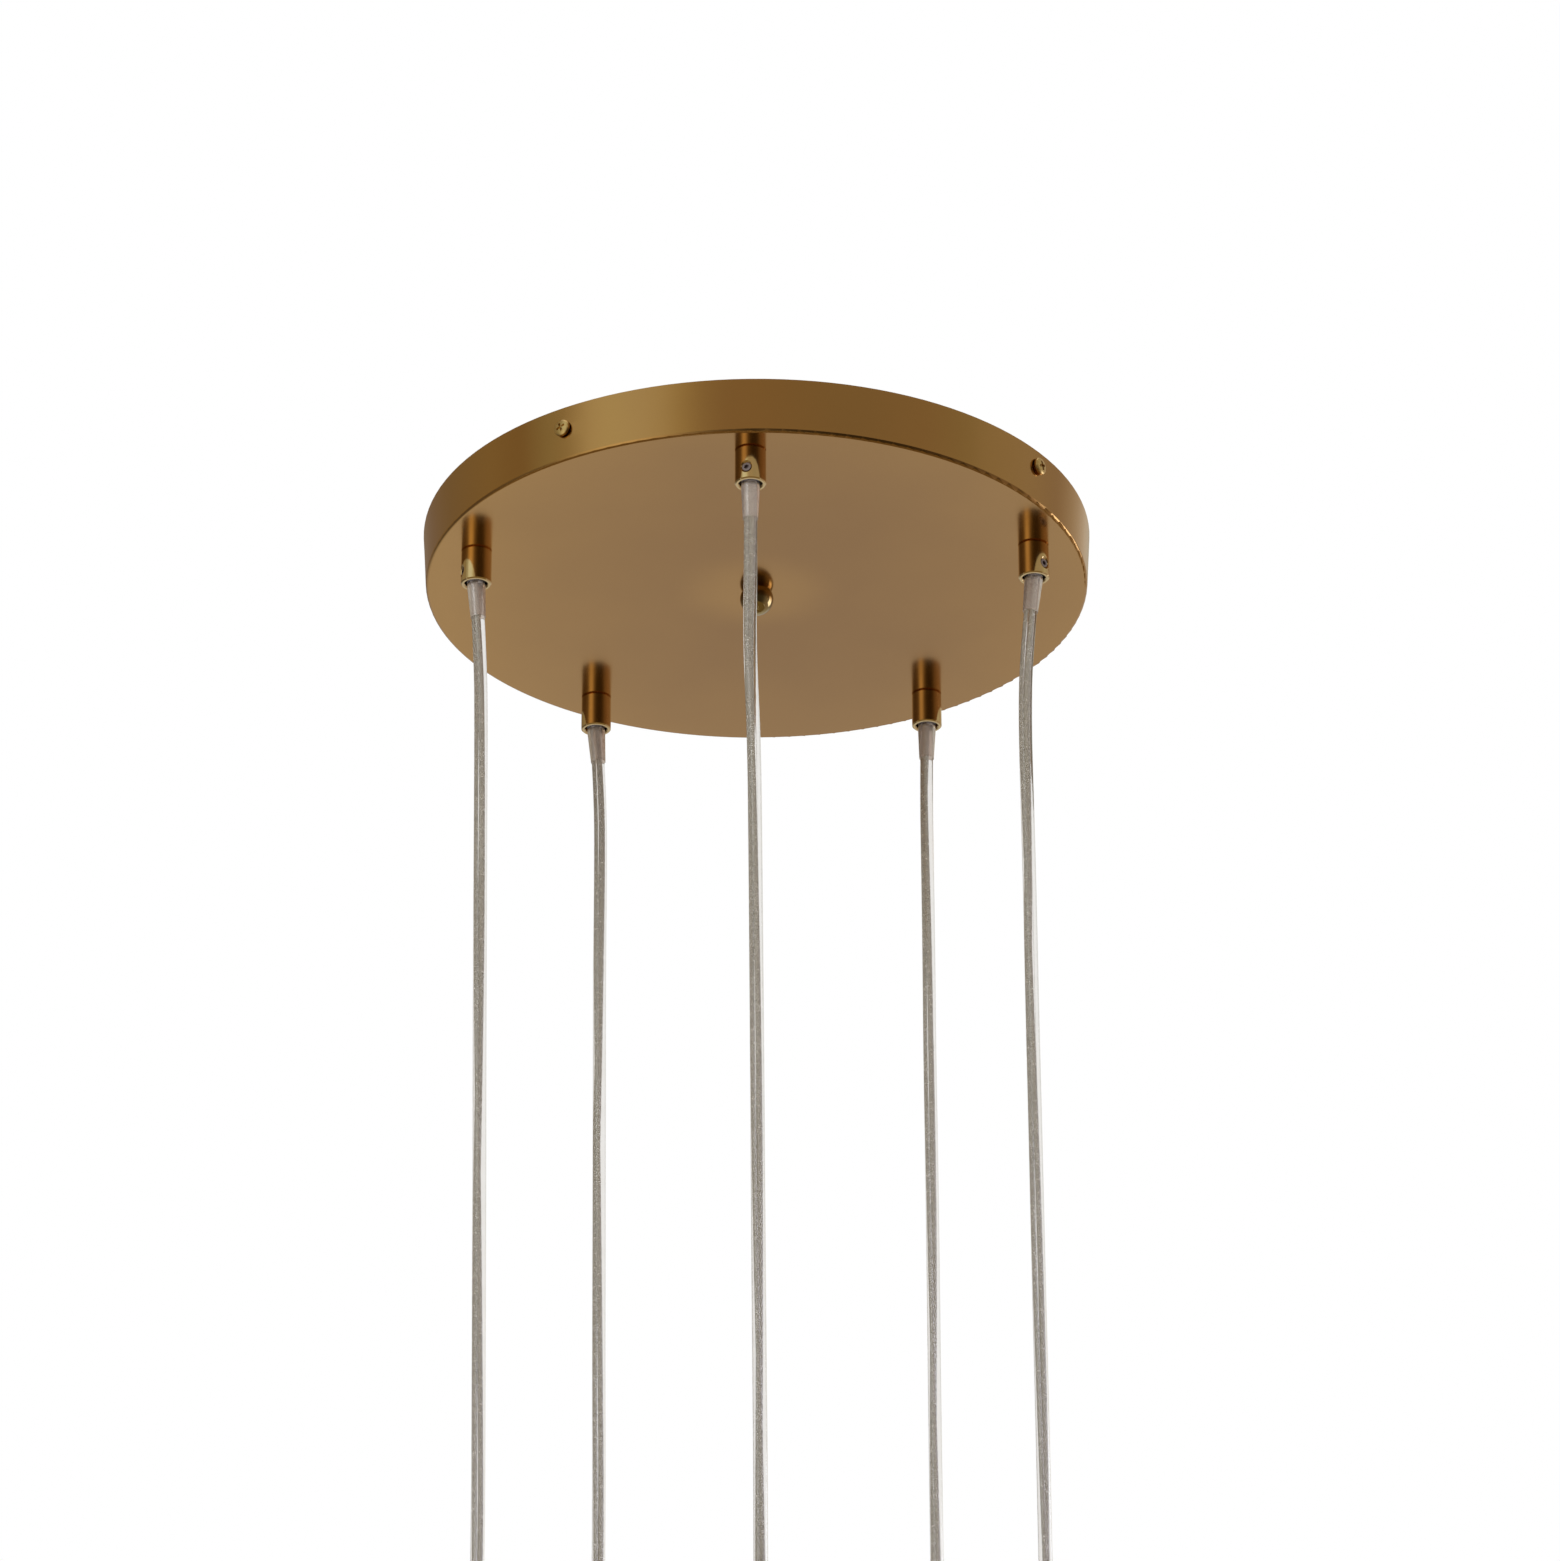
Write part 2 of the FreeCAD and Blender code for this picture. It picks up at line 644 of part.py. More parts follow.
def bulb_tip_z(top):
    """Height of the bulb's contact tip, just below the centre contact."""
    return contact_z(top) - contact_t - bulb_tip_gap


def bulb_base(top):
    """Screw base with rounded threads and a coned end."""
    tip = bulb_tip_z(top)
    crest = base_d / 2
    root = crest - thread_depth
    cone_low = tip - base_cone_h
    edges = [line((0, tip), (base_tip_d / 2, tip)),
             line((base_tip_d / 2, tip), (root, cone_low))]
    z = cone_low
    for _ in range(thread_turns):
        middle = z - thread_pitch / 2
        edges.append(arc((root, z), (crest, middle), (root, z - thread_pitch)))
        z -= thread_pitch
    skirt = tip - base_len
    edges += [line((root, z), (root, skirt)), line((root, skirt), (0, skirt)),
              line((0, skirt), (0, tip))]
    return turned(edges).cut(cylinder(root - base_wall, skirt, cone_low - base_wall))


def bulb_globe(top):
    """Opal globe with its neck, one millimetre thick, open at the neck."""
    neck_high = bulb_tip_z(top) - base_len
    centre_z = bulb_tip_z(top) - bulb_len + globe_d / 2

    def pear(neck_r, ball_r, above):
        low_z = neck_high - neck_len
        reach = math.hypot(neck_r, centre_z - low_z)
        side = math.acos(ball_r / reach)
        angle = math.atan2(low_z - centre_z, neck_r) - side
        meet = (ball_r * math.cos(angle), centre_z + ball_r * math.sin(angle))
        bottom = centre_z - ball_r
        halfway = (angle - math.pi / 2) / 2
        flank = (ball_r * math.cos(halfway), centre_z + ball_r * math.sin(halfway))
        return turned([line((0, neck_high + above), (neck_r, neck_high + above)),
                       line((neck_r, neck_high + above), (neck_r, low_z)),
                       line((neck_r, low_z), meet),
                       arc(meet, flank, (0, bottom)),
                       line((0, bottom), (0, neck_high + above))])

    outside = pear(neck_d / 2, globe_d / 2, 0)
    return outside.cut(pear(neck_d / 2 - globe_t, globe_d / 2 - globe_t, cut_past))


def pendant(n):
    """Write the cord, its sleeve, the lampholder and the bulb of pendant n."""
    name = "_%d" % (n + 1)
    points = cord_points(n)
    end = points[-1]
    top = end.z + cord_in_holder
    save("cord" + name, [flex("cord" + name, points, cord_d)])
    save("cord_sleeve" + name, [cord_sleeve(n)])
    for node, shapes in (("holder_grip", [holder_grip(top)]), ("holder_cup", [holder_cup(top)]),
                         ("socket_insert", [socket_insert(top)]),
                         ("socket_contacts", socket_contacts(top)),
                         ("bulb_base", [bulb_base(top)]), ("bulb_globe", [bulb_globe(top)])):
        save(node + name, [moved(shape, end.x, end.y) for shape in shapes])
    print("pendant", n + 1, "axis", round(end.x, 3), round(end.y, 3), "top", round(top, 3),
          "tip", round(bulb_tip_z(top), 3))


os.makedirs("parts", exist_ok=True)
pendants = range(pendant_count)

save("crossbar", [crossbar()])
save("ceiling_bracket", [ceiling_bracket()])
save("centre_stud", [centre_stud()])
save("stud_nuts", stud_nuts())
save("canopy_pan", [canopy_pan()])
save("rim_screws", [rim_screw(azimuth, drop) for azimuth, drop in rim_screw_places])
save("finial_ball", [finial_ball()])
for n in pendants:
    save("cord_grip_%d" % (n + 1), [cord_grip(n)])
save("grip_nipples", [grip_nipple(n) for n in pendants])
save("grip_nuts", [grip_nut(n) for n in pendants])
save("grip_set_screws", [grip_set_screw(n) for n in pendants])
save("cord_tails", [cord_tail(n) for n in pendants])
save("terminal_block", [terminal_block()])
save("terminal_screws", terminal_screws())
save("conductor_leads", [conductor_lead(n, shift) for n in pendants for shift in (-0.5, 0.5)])
for n in pendants:
    pendant(n)
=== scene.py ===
"""A round brass ceiling canopy with five lamps on clear cords, hung in a plain studio."""
import math

import bpy
from mathutils import Matrix, Vector


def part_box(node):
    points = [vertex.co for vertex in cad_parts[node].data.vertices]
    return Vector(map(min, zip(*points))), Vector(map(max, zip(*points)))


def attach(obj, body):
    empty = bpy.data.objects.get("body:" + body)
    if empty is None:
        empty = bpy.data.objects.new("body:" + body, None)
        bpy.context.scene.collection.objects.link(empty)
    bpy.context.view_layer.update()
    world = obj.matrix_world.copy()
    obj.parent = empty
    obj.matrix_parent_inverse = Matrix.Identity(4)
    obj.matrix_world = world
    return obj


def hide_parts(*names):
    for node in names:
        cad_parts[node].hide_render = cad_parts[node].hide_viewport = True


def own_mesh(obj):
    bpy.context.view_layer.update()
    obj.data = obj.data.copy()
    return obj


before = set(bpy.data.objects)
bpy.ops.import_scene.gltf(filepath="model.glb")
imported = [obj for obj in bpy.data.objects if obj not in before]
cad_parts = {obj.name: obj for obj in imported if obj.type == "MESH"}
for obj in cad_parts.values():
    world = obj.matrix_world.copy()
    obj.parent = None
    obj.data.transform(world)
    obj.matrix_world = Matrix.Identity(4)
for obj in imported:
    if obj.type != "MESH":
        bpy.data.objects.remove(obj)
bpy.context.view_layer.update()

MM = 0.001


# ------------------------------------------------------------ ceiling steelwork
# A slotted bar screwed to the ceiling box, a star of four arms under it whose bent
# ears hold the canopy's rim, and a threaded rod with two nuts.  Pressed and cut
# from mild steel sheet and rod, then zinc plated.

def linear(code):
    """Linear colour of an sRGB hex value."""
    shares = [int(code[i:i + 2], 16) / 255 for i in (1, 3, 5)]
    return [s / 12.92 if s <= 0.04045 else ((s + 0.055) / 1.055) ** 2.4 for s in shares] + [1.0]


def add(tree, kind, settings=None, inputs=None):
    """Add a node with its settings and with values or links for its inputs."""
    node = tree.nodes.new(kind)
    for name, value in (settings or {}).items():
        setattr(node, name, value)
    for name, value in (inputs or {}).items():
        if isinstance(value, bpy.types.NodeSocket):
            tree.links.new(value, node.inputs[name])
        else:
            node.inputs[name].default_value = value
    return node


def new_finish(name, values=None):
    """New material with the main values of its surface; returns it with its node tree and shader."""
    material = bpy.data.materials.new(name)
    material.use_nodes = True
    tree = material.node_tree
    shader = tree.nodes["Principled BSDF"]
    for key, value in (values or {}).items():
        shader.inputs[key].default_value = value
    return material, tree, shader


def tint(tree, share, low, high):
    """Colour between two hex values, by a share from 0 to 1."""
    ramp = add(tree, "ShaderNodeValToRGB", inputs={"Fac": share})
    ramp.color_ramp.elements[0].color = linear(low)
    ramp.color_ramp.elements[1].color = linear(high)
    return ramp.outputs["Color"]


def between(tree, share, low, high):
    """Number between two values, by a share from 0 to 1."""
    return add(tree, "ShaderNodeMapRange", inputs={
        "Value": share, "To Min": low, "To Max": high}).outputs["Result"]


def place(tree):
    """Object coordinates, in metres in the object's own frame."""
    return add(tree, "ShaderNodeTexCoord").outputs["Object"]


def speckle(tree, where, size, detail=3.0):
    """Cloudy noise whose patches are about the given size, in metres."""
    return add(tree, "ShaderNodeTexNoise", inputs={
        "Vector": where, "Scale": 1 / size, "Detail": detail}).outputs["Fac"]


def relief(tree, shader, height, depth):
    """Bump the surface by a height from 0 to 1 times a depth in metres."""
    bump = add(tree, "ShaderNodeBump", inputs={"Height": height, "Distance": depth, "Strength": 1.0})
    tree.links.new(bump.outputs["Normal"], shader.inputs["Normal"])


def finish_nodes(material, *names):
    """Give CAD nodes their material."""
    for name in names:
        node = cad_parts[name]
        for spot in node.material_slots:
            spot.material = material


def zinc_plated_steel():
    """Bright zinc on rolled steel: pale grey, with the soft mottling of the plating."""
    spangle_size = 4 * MM
    rolling_line = 0.4 * MM
    material, tree, shader = new_finish("zinc plated steel", {"Metallic": 1.0})
    where = place(tree)
    patches = speckle(tree, where, spangle_size)
    tree.links.new(tint(tree, patches, "#A4A8AB", "#C9CCCD"), shader.inputs["Base Color"])
    tree.links.new(between(tree, patches, 0.26, 0.42), shader.inputs["Roughness"])
    relief(tree, shader, speckle(tree, where, rolling_line), 0.01 * MM)
    return material


zinc = zinc_plated_steel()
finish_nodes(zinc, "crossbar", "ceiling_bracket", "centre_stud", "stud_nuts")


# ------------------------------------------------------------ wiring in the canopy
# A white nylon terminal block, injection moulded, under one arm, with plated clamping
# screws.  Two clear-covered tinned conductors reach it from the end of each cord.

def white_nylon():
    """Moulded nylon: slightly translucent off-white with a satin, faintly grained skin."""
    skin_grain = 0.8 * MM
    material, tree, shader = new_finish("moulded white nylon", {
        "IOR": 1.53, "Subsurface Weight": 0.15, "Subsurface Scale": 2 * MM,
        "Subsurface Radius": (1.0, 0.95, 0.9)})
    where = place(tree)
    grain = speckle(tree, where, skin_grain)
    tree.links.new(tint(tree, grain, "#E4E1D8", "#EFECE4"), shader.inputs["Base Color"])
    tree.links.new(between(tree, grain, 0.38, 0.5), shader.inputs["Roughness"])
    relief(tree, shader, grain, 0.02 * MM)
    return material


def nickel_plate():
    """Dull nickel plating on turned and rolled parts: warm grey metal with turning marks."""
    turning_mark = 0.15 * MM
    material, tree, shader = new_finish("nickel plate", {"Metallic": 1.0})
    marks = speckle(tree, place(tree), turning_mark)
    tree.links.new(tint(tree, marks, "#B9B4AA", "#DAD6CD"), shader.inputs["Base Color"])
    tree.links.new(between(tree, marks, 0.2, 0.34), shader.inputs["Roughness"])
    return material


def tinned_copper():
    """Fine tinned copper wires: bright grey, in small patches of duller tin and of near-white painted
    glints.
    """
    tin_and_glint_patch = 2 * MM
    material, tree, shader = new_finish("tinned copper", {"Metallic": 1.0})
    patches = speckle(tree, place(tree), tin_and_glint_patch)
    # Painted glints: the pale end of the tint is near white, standing in for glints of the twisted
    # strands
    tree.links.new(tint(tree, patches, "#B2ACA7", "#FFFDFA"), shader.inputs["Base Color"])
    tree.links.new(between(tree, patches, 0.16, 0.34), shader.inputs["Roughness"])
    return material


tin = tinned_copper()
nickel = nickel_plate()
finish_nodes(white_nylon(), "terminal_block")
finish_nodes(nickel, "terminal_screws")
finish_nodes(tin, "conductor_leads")


# ------------------------------------------------------------ canopy pan
# A shallow round pan, drawn from brass sheet, with its edge rounded over the die.  It is
# brushed by hand to a satin finish and lacquered, and four screws in its rim hold it.

def maths(tree, operation, a, b=0.0):
    """One step of arithmetic on two numbers or sockets."""
    return add(tree, "ShaderNodeMath", {"operation": operation}, {0: a, 1: b}).outputs[0]


def reach(tree, where, centre, depth=1.0):
    """Level distance from an upright axis, with its part along Y scaled by the depth."""
    offset = add(tree, "ShaderNodeVectorMath", {"operation": "SUBTRACT"}, {0: where, 1: centre})
    level = add(tree, "ShaderNodeVectorMath", {"operation": "MULTIPLY"},
                {0: offset.outputs[0], 1: (1, depth, 0)})
    length = add(tree, "ShaderNodeVectorMath", {"operation": "LENGTH"}, {0: level.outputs[0]})
    return length.outputs["Value"]


def satin_brass(name, axis, painted_highlight_axis, painted_highlight_r, painted_halo_r):
    """Brushed and lacquered brass: a soft golden brown with fine round brush lines and
    faint clouds of lighter and darker metal, and blurred but clear reflections.  Painted
    highlights: the colour turns paler towards both sides and in a ring close round the ball nut."""
    brush_line = 0.35 * MM
    cloud = 60 * MM
    cloud_share = 0.35
    painted_halo_share = 0.42
    painted_highlight_depth = 0.6
    material, tree, shader = new_finish(name, {"Metallic": 1.0})
    where = place(tree)
    height = add(tree, "ShaderNodeSeparateXYZ", inputs={0: where}).outputs["Z"]
    ring = add(tree, "ShaderNodeCombineXYZ", inputs={"X": reach(tree, where, axis), "Z": height})
    lines = speckle(tree, ring.outputs[0], brush_line, 2.0)
    uneven = maths(tree, "SUBTRACT", speckle(tree, where, cloud), 0.5)
    clouds = maths(tree, "MULTIPLY", uneven, cloud_share)
    # Painted highlight: paler away from a second axis, more towards the sides along X than along Y
    highlight_reach = maths(tree, "DIVIDE", reach(tree, where, painted_highlight_axis, painted_highlight_depth), painted_highlight_r)
    pale = maths(tree, "POWER", highlight_reach, 2.0)
    # Painted highlight: paler in a ring close round the axis, for light thrown back by the ball nut
    painted_halo = add(tree, "ShaderNodeMapRange", {"interpolation_type": "SMOOTHSTEP"}, {
        "Value": reach(tree, where, axis), "From Min": 0.3 * painted_halo_r, "From Max": painted_halo_r,
        "To Min": painted_halo_share, "To Max": 0.0}).outputs["Result"]
    share = maths(tree, "ADD", maths(tree, "ADD", pale, painted_halo), clouds)
    # The tint mixes the painted highlights with the metal's own random clouds
    tree.links.new(tint(tree, share, "#B08552", "#CF9F5D"), shader.inputs["Base Color"])
    tree.links.new(between(tree, lines, 0.13, 0.18), shader.inputs["Roughness"])
    relief(tree, shader, lines, 0.002 * MM)
    return material


# The pan's colour carries painted highlights, paler towards both sides and round the ball nut
pan_brass = satin_brass("satin brass sheet", (0, 0, 0), (20 * MM, 0, 0), 165 * MM, 42 * MM)
finish_nodes(pan_brass, "canopy_pan")


# ------------------------------------------------------------ rim screws
# Four pan-head machine screws with cross recesses, turned and rolled from brass and
# polished.  They stand a little off the rim, tightened into the bracket's ears.

def polished_brass(name, low, high):
    """Polished brass: gold mirror with faint turning lines and slight tarnish."""
    turning_line = 0.25 * MM
    tarnish = 3 * MM
    material, tree, shader = new_finish(name, {"Metallic": 1.0})
    where = place(tree)
    parts = add(tree, "ShaderNodeSeparateXYZ", inputs={0: where})
    level = add(tree, "ShaderNodeCombineXYZ", inputs={"Z": parts.outputs["Z"]})
    lines = speckle(tree, level.outputs[0], turning_line, 1.0)
    spots = speckle(tree, where, tarnish)
    tree.links.new(tint(tree, spots, low, high), shader.inputs["Base Color"])
    tree.links.new(between(tree, spots, 0.1, 0.16), shader.inputs["Roughness"])
    relief(tree, shader, lines, 0.001 * MM)
    return material


def screw_brass():
    """Brass screws under old lacquer: dull gold with fine pits and soft, blurred shine."""
    pit = 0.6 * MM
    material, tree, shader = new_finish("lacquered screw brass", {"Metallic": 1.0})
    pits = speckle(tree, place(tree), pit)
    tree.links.new(tint(tree, pits, "#C09C5E", "#EAC887"), shader.inputs["Base Color"])
    tree.links.new(between(tree, pits, 0.24, 0.36), shader.inputs["Roughness"])
    relief(tree, shader, pits, 0.02 * MM)
    return material


def new_tree(name, sizes):
    """New geometry tree with a geometry input, named number inputs and a material input."""
    tree = bpy.data.node_groups.new(name, "GeometryNodeTree")
    tree.interface.new_socket("Geometry", in_out="INPUT", socket_type="NodeSocketGeometry")
    for size in sizes:
        whole = isinstance(sizes[size], int)
        socket = tree.interface.new_socket(size, in_out="INPUT",
                                           socket_type="NodeSocketInt" if whole else "NodeSocketFloat")
        socket.default_value = sizes[size]
    tree.interface.new_socket("Material", in_out="INPUT", socket_type="NodeSocketMaterial")
    tree.interface.new_socket("Geometry", in_out="OUTPUT", socket_type="NodeSocketGeometry")
    given = add(tree, "NodeGroupInput").outputs
    return tree, given


def end_tree(tree, geometry, material):
    """Close a geometry tree: real geometry with its material set."""
    real = add(tree, "GeometryNodeRealizeInstances", inputs={"Geometry": geometry})
    dressed = add(tree, "GeometryNodeSetMaterial",
                  inputs={"Geometry": real.outputs[0], "Material": material})
    add(tree, "NodeGroupOutput", inputs={"Geometry": dressed.outputs[0]})
    return tree


def grown(name, mesh, tree, **values):
    """Object with the mesh that a geometry tree makes of another, as plain mesh data."""
    source = bpy.data.objects.new(name + "_source", mesh)
    bpy.context.scene.collection.objects.link(source)
    modifier = source.modifiers.new("Build", "NODES")
    modifier.node_group = tree
    for item in tree.interface.items_tree:
        if item.in_out == "INPUT" and item.name in values:
            modifier[item.identifier] = values[item.name]
    made = bpy.data.meshes.new_from_object(source.evaluated_get(bpy.context.evaluated_depsgraph_get()))
    source.modifiers.remove(modifier)
    bpy.data.objects.remove(source)
    made.name = name
    piece = bpy.data.objects.new(name, made)
    bpy.context.scene.collection.objects.link(piece)
    return piece


def rim_screw_tree():
    """One domed head with a cross recess and its shank, set at each seat square to the rim."""
    shank_overlap = 0.3 * MM
    smallest_part = 0.001
    sharp_fold = math.radians(35)
    tree, given = new_tree("Rim Screws", {
        "Head Radius": 3.9 * MM, "Edge Height": 0.85 * MM, "Dome Height": 1.05 * MM,
        "Shank Radius": 2.0 * MM, "Shank Length": 10 * MM, "Recess Length": 4.4 * MM,
        "Recess Width": 1.1 * MM, "Recess Depth": 1.1 * MM, "Recess Turn": math.radians(20)})
    blank = add(tree, "GeometryNodeMeshCylinder", {"fill_type": "TRIANGLE_FAN"}, {
        "Vertices": 48, "Side Segments": 1, "Fill Segments": 12,
        "Radius": given["Head Radius"], "Depth": given["Edge Height"]})
    position = add(tree, "GeometryNodeInputPosition").outputs[0]
    x, y, z = add(tree, "ShaderNodeSeparateXYZ", inputs={0: position}).outputs
    squares = maths(tree, "ADD", maths(tree, "MULTIPLY", x, x), maths(tree, "MULTIPLY", y, y))
    r = maths(tree, "SQRT", squares)
    part = maths(tree, "MAXIMUM", maths(tree, "DIVIDE", r, given["Head Radius"]), smallest_part)
    lean = maths(tree, "MULTIPLY", part, math.pi / 2)
    spread = maths(tree, "DIVIDE", maths(tree, "SINE", lean), part)
    crown = maths(tree, "ADD", given["Edge Height"],
                  maths(tree, "MULTIPLY", maths(tree, "COSINE", lean), given["Dome Height"]))
    domed = add(tree, "ShaderNodeCombineXYZ", inputs={
        "X": maths(tree, "MULTIPLY", x, spread), "Y": maths(tree, "MULTIPLY", y, spread),
        "Z": maths(tree, "MULTIPLY", crown, maths(tree, "GREATER_THAN", z, 0.0))})
    head = add(tree, "GeometryNodeSetPosition", inputs={
        "Geometry": blank.outputs["Mesh"], "Position": domed.outputs[0]})
    rod = add(tree, "GeometryNodeMeshCylinder", inputs={
        "Vertices": 24, "Radius": given["Shank Radius"], "Depth": given["Shank Length"]})
    sunk = add(tree, "ShaderNodeCombineXYZ", inputs={
        "Z": maths(tree, "ADD", maths(tree, "MULTIPLY", given["Shank Length"], -0.5), shank_overlap)})
    shank = add(tree, "GeometryNodeTransform", inputs={
        "Geometry": rod.outputs["Mesh"], "Translation": sunk.outputs[0]})
    whole = add(tree, "GeometryNodeMeshBoolean", {"operation": "UNION"})
    tree.links.new(head.outputs[0], whole.inputs["Mesh 2"])
    tree.links.new(shank.outputs[0], whole.inputs["Mesh 2"])
    bar_size = add(tree, "ShaderNodeCombineXYZ", inputs={
        "X": given["Recess Length"], "Y": given["Recess Width"],
        "Z": maths(tree, "MULTIPLY", given["Recess Depth"], 2.0)})
    bar = add(tree, "GeometryNodeMeshCube", inputs={"Size": bar_size.outputs[0]})
    top = maths(tree, "ADD", given["Edge Height"], given["Dome Height"])
    cross = add(tree, "GeometryNodeMeshBoolean", {"operation": "DIFFERENCE"},
                {"Mesh 1": whole.outputs["Mesh"]})
    for quarter in (0, math.pi / 2):
        turned = add(tree, "ShaderNodeCombineXYZ", inputs={
            "Z": maths(tree, "ADD", given["Recess Turn"], quarter)})
        lifted = add(tree, "ShaderNodeCombineXYZ", inputs={"Z": top})
        euler = add(tree, "FunctionNodeEulerToRotation", inputs={"Euler": turned.outputs[0]})
        cutter = add(tree, "GeometryNodeTransform", inputs={
            "Geometry": bar.outputs["Mesh"], "Translation": lifted.outputs[0],
            "Rotation": euler.outputs[0]})
        tree.links.new(cutter.outputs[0], cross.inputs["Mesh 2"])
    fold = add(tree, "GeometryNodeInputMeshEdgeAngle").outputs["Unsigned Angle"]
    soft = add(tree, "GeometryNodeSetShadeSmooth", {"domain": "EDGE"}, {
        "Geometry": cross.outputs["Mesh"],
        "Shade Smooth": maths(tree, "LESS_THAN", fold, sharp_fold)})
    seat = add(tree, "ShaderNodeSeparateXYZ", inputs={0: position})
    facing = add(tree, "ShaderNodeCombineXYZ", inputs={
        "Y": math.pi / 2, "Z": maths(tree, "ARCTAN2", seat.outputs["Y"], seat.outputs["X"])})
    outward = add(tree, "FunctionNodeEulerToRotation", inputs={"Euler": facing.outputs[0]})
    seats = add(tree, "GeometryNodeMeshToPoints", inputs={"Mesh": given["Geometry"]})
    placed = add(tree, "GeometryNodeInstanceOnPoints", inputs={
        "Points": seats.outputs[0], "Instance": soft.outputs[0], "Rotation": outward.outputs[0]})
    return end_tree(tree, placed.outputs[0], given["Material"])


face_r = 152.5 * MM
flare = 1.5 * MM
canopy_h = 25.7 * MM
screw_stand_off = 0.7 * MM
# Each screw as (degrees round from -Y towards +X, distance down from the ceiling)
screw_seats = ((-33, 10.4 * MM), (57, 7.6 * MM), (147, 9.0 * MM), (237, 9.0 * MM))

bright_brass = polished_brass("polished brass", "#DEBD84", "#E9CB94")
seat_mesh = bpy.data.meshes.new("screw_seats")
seats = []
for turn, drop in screw_seats:
    seat_r = face_r + flare * (1 - drop / canopy_h) + screw_stand_off
    seats.append((seat_r * math.sin(math.radians(turn)), -seat_r * math.cos(math.radians(turn)), -drop))
seat_mesh.from_pydata(seats, [], [])
screws = grown("rim_screw_set", seat_mesh, rim_screw_tree(), Material=screw_brass())
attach(screws, "canopy")
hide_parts("rim_screws")


# ------------------------------------------------------------ finial
# The ball nut in the middle of the pan, turned from brass bar and polished, screwed
# onto the centre stud until its flat seat meets the pan.

# Painted shade: the ball's brass is darker and duller than the grips', for the darker surroundings it
# reflects
shaded_ball_brass = polished_brass("polished ball brass", "#A99160", "#BDA674")
finish_nodes(shaded_ball_brass, "finial_ball")


# ------------------------------------------------------------ cord grips
# Five turned and polished brass barrels on hollow nipples, each clamped from inside by a
# flanged nut, with a headless plated screw that bites on the cord.

def dulled_nickel():
    """Nickel plate dulled by tarnish: dark grey metal with a soft, faintly purple sheen."""
    tarnish_patch = 0.8 * MM
    material, tree, shader = new_finish("dulled nickel plate", {"Metallic": 1.0})
    patches = speckle(tree, place(tree), tarnish_patch)
    tree.links.new(tint(tree, patches, "#8C7D81", "#B0A1A5"), shader.inputs["Base Color"])
    tree.links.new(between(tree, patches, 0.3, 0.45), shader.inputs["Roughness"])
    return material


CORDS = range(1, 6)
finish_nodes(bright_brass, *["cord_grip_%d" % n for n in CORDS])
finish_nodes(zinc, "grip_nipples", "grip_nuts")
finish_nodes(dulled_nickel(), "grip_set_screws")


# ------------------------------------------------------------ cords
# Round two-core flex under clear PVC.  Each core is a rope of fine tinned wires, and the
# two cores are laid round each other, so silver lines wind down inside the clear jacket.
# The extruded jacket is pulled taut by the lamp and keeps slight bows from its drum.

grip_circle_r = 133.5 * MM
exit_z = -41.3 * MM
cord_d = 6.0 * MM
cord_sides = 24
cord_step = 4 * MM
pair_offset = 0.6 * MM
pair_lay = 1500 * MM
pair_turn = 0.42
core_offset = 0.95 * MM
core_lay = 620 * MM
core_turns = (0.05, 0.30, 0.42, 0.20, 0.95)
wires_in_core = 6
wire_offset = 0.48 * MM
wire_lay = 24 * MM
wire_r = 0.26 * MM
core_r = 0.88 * MM
core_sides = 16
wire_sides = 6
wire_step = 1.25 * MM
# Each route as (offset along X, offset along Y, distance down from the grip's mouth) in
# millimetres, with the real length of the cord
cord_routes = (
    (0.5406, ((0, 0, 0), (0, 0.4, 40), (-0.5, 1.1, 80), (1.4, 1, 125), (1.9, 0.2, 170),
              (2.3, -0.6, 225), (2.7, -1.2, 285), (3, -1, 345), (3.4, -0.3, 410),
              (3.9, 0.3, 475), (3.9, 0.3, 540.5))),
    (0.4976, ((0, 0, 0), (2.7, -0.3, 38), (3.6, -0.9, 80), (4.1, -1.1, 125),
              (4.7, -0.6, 175), (5.3, 0.2, 230), (6.2, 0.9, 288), (6.9, 1.2, 345),
              (7.6, 0.9, 400), (8.3, 0.4, 448), (8.3, 0.4, 497.5))),
    (0.4456, ((0, 0, 0), (2.4, 0.3, 36), (2.8, 0.8, 78), (2.7, 1.3, 125), (3.1, 1, 175),
              (3.5, 0.2, 228), (3.9, -0.5, 282), (4.3, -0.8, 336), (4.9, -0.5, 390),
              (4.9, -0.5, 445.5))),
    (0.4735, ((0, 0, 0), (-0.7, -0.3, 34), (-0.6, -0.9, 74), (-0.5, -1.4, 120),
              (-0.7, -1, 172), (-0.4, -0.2, 230), (-0.4, 0.6, 290), (-0.5, 0.9, 352),
              (-0.4, 0.5, 412), (-0.4, 0.5, 473.5))),
    (0.5218, ((0, 0, 0), (-4, 0.3, 36), (-5.4, 0.8, 72), (-5, 1.2, 116), (-4.7, 0.8, 165),
              (-4.7, 0, 220), (-4.4, -0.7, 278), (-4.3, -1.1, 336), (-4, -0.8, 396),
              (-3.8, -0.2, 458), (-3.8, -0.2, 521.5))),
)


def clear_pvc():
    """Soft clear PVC: clear but greyish, slightly hazy, with a faintly wavy extruded skin."""
    skin_wave = 9 * MM
    material, tree, shader = new_finish("clear PVC", {
        "IOR": 1.53, "Transmission Weight": 1.0, "Roughness": 0.08})
    waves = speckle(tree, place(tree), skin_wave, 1.0)
    tree.links.new(tint(tree, waves, "#E8E5E1", "#F2F0EE"), shader.inputs["Base Color"])
    relief(tree, shader, waves, 0.1 * MM)
    return material


